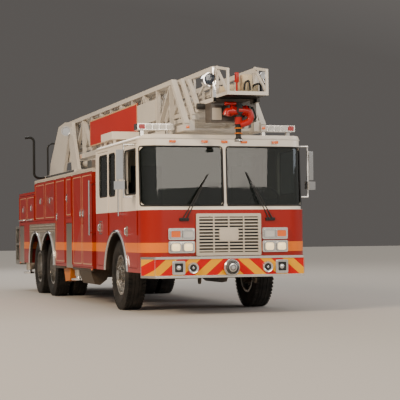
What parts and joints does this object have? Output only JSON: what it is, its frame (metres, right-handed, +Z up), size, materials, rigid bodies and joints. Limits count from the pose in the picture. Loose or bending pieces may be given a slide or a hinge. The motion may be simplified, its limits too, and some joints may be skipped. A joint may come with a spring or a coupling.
{
  "type": "aerial ladder fire engine",
  "caption": "Three-axle aerial ladder fire engine with a four-section ladder on a rear turntable, crew cab, lockers and outriggers.",
  "frame": {"origin": "centre of the bounding box in plan, on the ground under the tyres", "axes": "+X to the vehicle's left, -Y to its front, +Z up"},
  "size_m": [3.114, 11.94, 3.5],
  "materials": {
    "frame_paint": "satin black frame paint",
    "engine_paint": "dark grey cast iron",
    "bright_steel": "polished stainless steel",
    "red_paint": "gloss red paint",
    "glass": "tinted safety glass",
    "interior": "dark moulded trim",
    "chrome": "bright chrome plate",
    "lamp": "moulded lamp housings",
    "stainless": "brushed stainless sheet",
    "dark_paint": "black gripped tube",
    "white_paint": "gloss white paint",
    "ladder_paint": "gloss white ladder paint",
    "tyre": "black rubber"
  },
  "bodies": {
    "chassis": {"chassis_frame": "frame_paint", "axles": "frame_paint", "engine_block": "engine_paint", "front_bumper": "bright_steel", "cab_shell": "red_paint", "cab_glass": "glass", "cab_interior": "interior", "front_grille": "chrome", "lamps": "lamp", "body_right": "red_paint", "body_left": "red_paint", "body_deck": "red_paint", "fender_panels": "stainless"},
    "knuckle_right": {"knuckle_right": "frame_paint"},
    "front_wheel_right": {"wheel_front_right": "tyre"},
    "knuckle_left": {"knuckle_left": "frame_paint"},
    "front_wheel_left": {"wheel_front_left": "tyre"},
    "rear_wheel_1_right": {"wheel_rear_1_right": "tyre"},
    "rear_wheel_1_left": {"wheel_rear_1_left": "tyre"},
    "rear_wheel_2_right": {"wheel_rear_2_right": "tyre"},
    "rear_wheel_2_left": {"wheel_rear_2_left": "tyre"},
    "cab_door_front_right": {"cab_door_front_right": "red_paint"},
    "cab_door_front_left": {"cab_door_front_left": "red_paint"},
    "cab_door_crew_right": {"cab_door_crew_right": "red_paint", "crew_door_glass_right": "glass"},
    "cab_door_crew_left": {"cab_door_crew_left": "red_paint", "crew_door_glass_left": "glass"},
    "door_a1_right": {"door_a1_right": "red_paint"},
    "door_a1_left": {"door_a1_left": "red_paint"},
    "door_a2_right": {"door_a2_right": "red_paint"},
    "door_a2_left": {"door_a2_left": "red_paint"},
    "door_f_right": {"door_f_right": "red_paint"},
    "door_f_left": {"door_f_left": "red_paint"},
    "door_b_right": {"door_b_right": "red_paint"},
    "door_b_left": {"door_b_left": "red_paint"},
    "door_c1_right": {"door_c1_right": "red_paint"},
    "door_c1_left": {"door_c1_left": "red_paint"},
    "door_c2_right": {"door_c2_right": "red_paint"},
    "door_c2_left": {"door_c2_left": "red_paint"},
    "door_d1_right": {"door_d1_right": "red_paint"},
    "door_d1_left": {"door_d1_left": "red_paint"},
    "door_d2_right": {"door_d2_right": "red_paint"},
    "door_d2_left": {"door_d2_left": "red_paint"},
    "turntable": {"turntable": "white_paint", "handrails": "dark_paint"},
    "ladder_base": {"ladder_base": "ladder_paint"},
    "ladder_mid": {"ladder_mid": "ladder_paint"},
    "ladder_upper": {"ladder_upper": "ladder_paint"},
    "ladder_fly": {"ladder_fly": "ladder_paint"},
    "lift_barrels": {"lift_barrels": "white_paint"},
    "lift_rods": {"lift_rods": "chrome"},
    "monitor": {"monitor": "red_paint"},
    "outrigger_front_right": {"outrigger_front_right": "stainless"},
    "jack_leg_front_right": {"jack_leg_front_right": "chrome"},
    "outrigger_front_left": {"outrigger_front_left": "stainless"},
    "jack_leg_front_left": {"jack_leg_front_left": "chrome"},
    "outrigger_rear_right": {"outrigger_rear_right": "stainless"},
    "jack_leg_rear_right": {"jack_leg_rear_right": "chrome"},
    "outrigger_rear_left": {"outrigger_rear_left": "stainless"},
    "jack_leg_rear_left": {"jack_leg_rear_left": "chrome"}
  },
  "joints": [
    {"name": "steer_right", "type": "hinge", "parent": "chassis", "child": "knuckle_right", "pos_m": [-0.9, -3.24, 0.535], "axis": [0, 0, 1], "range_deg": [-32, 32]},
    {"name": "roll_front_right", "type": "hinge", "parent": "knuckle_right", "child": "front_wheel_right", "pos_m": [-1.02, -3.24, 0.535], "axis": [1, 0, 0], "continuous": true},
    {"name": "steer_left", "type": "hinge", "parent": "chassis", "child": "knuckle_left", "pos_m": [0.9, -3.24, 0.535], "axis": [0, 0, 1], "range_deg": [-32, 32]},
    {"name": "roll_front_left", "type": "hinge", "parent": "knuckle_left", "child": "front_wheel_left", "pos_m": [1.02, -3.24, 0.535], "axis": [1, 0, 0], "continuous": true},
    {"name": "roll_rear_1_right", "type": "hinge", "parent": "chassis", "child": "rear_wheel_1_right", "pos_m": [-0.86, 2.19, 0.535], "axis": [1, 0, 0], "continuous": true},
    {"name": "roll_rear_1_left", "type": "hinge", "parent": "chassis", "child": "rear_wheel_1_left", "pos_m": [0.86, 2.19, 0.535], "axis": [1, 0, 0], "continuous": true},
    {"name": "roll_rear_2_right", "type": "hinge", "parent": "chassis", "child": "rear_wheel_2_right", "pos_m": [-0.86, 3.56, 0.535], "axis": [1, 0, 0], "continuous": true},
    {"name": "roll_rear_2_left", "type": "hinge", "parent": "chassis", "child": "rear_wheel_2_left", "pos_m": [0.86, 3.56, 0.535], "axis": [1, 0, 0], "continuous": true},
    {"name": "cab_door_front_right_hinge", "type": "hinge", "parent": "chassis", "child": "cab_door_front_right", "pos_m": [-1.247, -4.644, 1.5], "axis": [0, 0, 1], "range_deg": [0, 70]},
    {"name": "cab_door_front_left_hinge", "type": "hinge", "parent": "chassis", "child": "cab_door_front_left", "pos_m": [1.247, -4.644, 1.5], "axis": [0, 0, -1], "range_deg": [0, 70]},
    {"name": "cab_door_crew_right_hinge", "type": "hinge", "parent": "chassis", "child": "cab_door_crew_right", "pos_m": [-1.247, -2.859, 1.5], "axis": [0, 0, 1], "range_deg": [0, 80]},
    {"name": "cab_door_crew_left_hinge", "type": "hinge", "parent": "chassis", "child": "cab_door_crew_left", "pos_m": [1.247, -2.859, 1.5], "axis": [0, 0, -1], "range_deg": [0, 80]},
    {"name": "door_a1_right_hinge", "type": "hinge", "parent": "chassis", "child": "door_a1_right", "pos_m": [-1.247, -1.704, 1.41], "axis": [0, 0, 1], "range_deg": [0, 90]},
    {"name": "door_a1_left_hinge", "type": "hinge", "parent": "chassis", "child": "door_a1_left", "pos_m": [1.247, -1.704, 1.41], "axis": [0, 0, -1], "range_deg": [0, 90]},
    {"name": "door_a2_right_hinge", "type": "hinge", "parent": "chassis", "child": "door_a2_right", "pos_m": [-1.247, -0.116, 1.41], "axis": [0, 0, -1], "range_deg": [0, 90]},
    {"name": "door_a2_left_hinge", "type": "hinge", "parent": "chassis", "child": "door_a2_left", "pos_m": [1.247, -0.116, 1.41], "axis": [0, 0, 1], "range_deg": [0, 90]},
    {"name": "door_f_right_hinge", "type": "hinge", "parent": "chassis", "child": "door_f_right", "pos_m": [-1.247, -0.024, 1.835], "axis": [0, 0, 1], "range_deg": [0, 90]},
    {"name": "door_f_left_hinge", "type": "hinge", "parent": "chassis", "child": "door_f_left", "pos_m": [1.247, -0.024, 1.835], "axis": [0, 0, -1], "range_deg": [0, 90]},
    {"name": "door_b_right_hinge", "type": "hinge", "parent": "chassis", "child": "door_b_right", "pos_m": [-1.247, 0.556, 1.42], "axis": [0, 0, 1], "range_deg": [0, 90]},
    {"name": "door_b_left_hinge", "type": "hinge", "parent": "chassis", "child": "door_b_left", "pos_m": [1.247, 0.556, 1.42], "axis": [0, 0, -1], "range_deg": [0, 90]},
    {"name": "door_c1_right_hinge", "type": "hinge", "parent": "chassis", "child": "door_c1_right", "pos_m": [-1.247, 1.476, 1.825], "axis": [0, 0, 1], "range_deg": [0, 90]},
    {"name": "door_c1_left_hinge", "type": "hinge", "parent": "chassis", "child": "door_c1_left", "pos_m": [1.247, 1.476, 1.825], "axis": [0, 0, -1], "range_deg": [0, 90]},
    {"name": "door_c2_right_hinge", "type": "hinge", "parent": "chassis", "child": "door_c2_right", "pos_m": [-1.247, 3.534, 1.825], "axis": [0, 0, -1], "range_deg": [0, 90]},
    {"name": "door_c2_left_hinge", "type": "hinge", "parent": "chassis", "child": "door_c2_left", "pos_m": [1.247, 3.534, 1.825], "axis": [0, 0, 1], "range_deg": [0, 90]},
    {"name": "door_d1_right_hinge", "type": "hinge", "parent": "chassis", "child": "door_d1_right", "pos_m": [-1.247, 3.646, 1.72], "axis": [0, 0, 1], "range_deg": [0, 90]},
    {"name": "door_d1_left_hinge", "type": "hinge", "parent": "chassis", "child": "door_d1_left", "pos_m": [1.247, 3.646, 1.72], "axis": [0, 0, -1], "range_deg": [0, 90]},
    {"name": "door_d2_right_hinge", "type": "hinge", "parent": "chassis", "child": "door_d2_right", "pos_m": [-1.247, 5.414, 1.72], "axis": [0, 0, -1], "range_deg": [0, 90]},
    {"name": "door_d2_left_hinge", "type": "hinge", "parent": "chassis", "child": "door_d2_left", "pos_m": [1.247, 5.414, 1.72], "axis": [0, 0, 1], "range_deg": [0, 90]},
    {"name": "turntable_slew", "type": "hinge", "parent": "chassis", "child": "turntable", "pos_m": [0, 3.36, 2.3], "axis": [0, 0, 1], "continuous": true},
    {"name": "ladder_raise", "type": "hinge", "parent": "turntable", "child": "ladder_base", "pos_m": [0, 3.36, 3.2], "axis": [-1, 0, 0], "range_deg": [0, 75]},
    {"name": "extend_mid", "type": "slide", "parent": "ladder_base", "child": "ladder_mid", "axis": [0, -1, 0], "range_m": [0, 6]},
    {"name": "extend_upper", "type": "slide", "parent": "ladder_mid", "child": "ladder_upper", "axis": [0, -1, 0], "range_m": [0, 6]},
    {"name": "extend_fly", "type": "slide", "parent": "ladder_upper", "child": "ladder_fly", "axis": [0, -1, 0], "range_m": [0, 6]},
    {"name": "lift_barrel_swing", "type": "hinge", "parent": "turntable", "child": "lift_barrels", "pos_m": [0, 2.5, 2.53], "axis": [-1, 0, 0], "range_deg": [0, 80.52]},
    {"name": "lift_rod_slide", "type": "slide", "parent": "lift_barrels", "child": "lift_rods", "axis": [0, -0.9999, 0.0143], "range_m": [0, 1.3059]},
    {"name": "monitor_tilt", "type": "hinge", "parent": "ladder_fly", "child": "monitor", "pos_m": [0, -5.54, 2.87], "axis": [-1, 0, 0], "range_deg": [0, 100]},
    {"name": "outrigger_front_right_slide", "type": "slide", "parent": "chassis", "child": "outrigger_front_right", "axis": [-1, 0, 0], "range_m": [0, 1.1]},
    {"name": "jack_front_right_slide", "type": "slide", "parent": "outrigger_front_right", "child": "jack_leg_front_right", "axis": [0, 0, -1], "range_m": [0, 0.355]},
    {"name": "outrigger_front_left_slide", "type": "slide", "parent": "chassis", "child": "outrigger_front_left", "axis": [1, 0, 0], "range_m": [0, 1.1]},
    {"name": "jack_front_left_slide", "type": "slide", "parent": "outrigger_front_left", "child": "jack_leg_front_left", "axis": [0, 0, -1], "range_m": [0, 0.355]},
    {"name": "outrigger_rear_right_slide", "type": "slide", "parent": "chassis", "child": "outrigger_rear_right", "axis": [-1, 0, 0], "range_m": [0, 1.1]},
    {"name": "jack_rear_right_slide", "type": "slide", "parent": "outrigger_rear_right", "child": "jack_leg_rear_right", "axis": [0, 0, -1], "range_m": [0, 0.355]},
    {"name": "outrigger_rear_left_slide", "type": "slide", "parent": "chassis", "child": "outrigger_rear_left", "axis": [1, 0, 0], "range_m": [0, 1.1]},
    {"name": "jack_rear_left_slide", "type": "slide", "parent": "outrigger_rear_left", "child": "jack_leg_rear_left", "axis": [0, 0, -1], "range_m": [0, 0.355]}
  ],
  "couplings": [
    {"joint": "steer_left", "follows": "steer_right", "ratio": 1},
    {"joint": "extend_upper", "follows": "extend_mid", "ratio": 1},
    {"joint": "extend_fly", "follows": "extend_mid", "ratio": 1},
    {"joint": "lift_barrel_swing", "follows": "ladder_raise", "ratio": 1.071},
    {"joint": "lift_rod_slide", "follows": "ladder_raise", "m_per_rad": 0.99611}
  ]
}
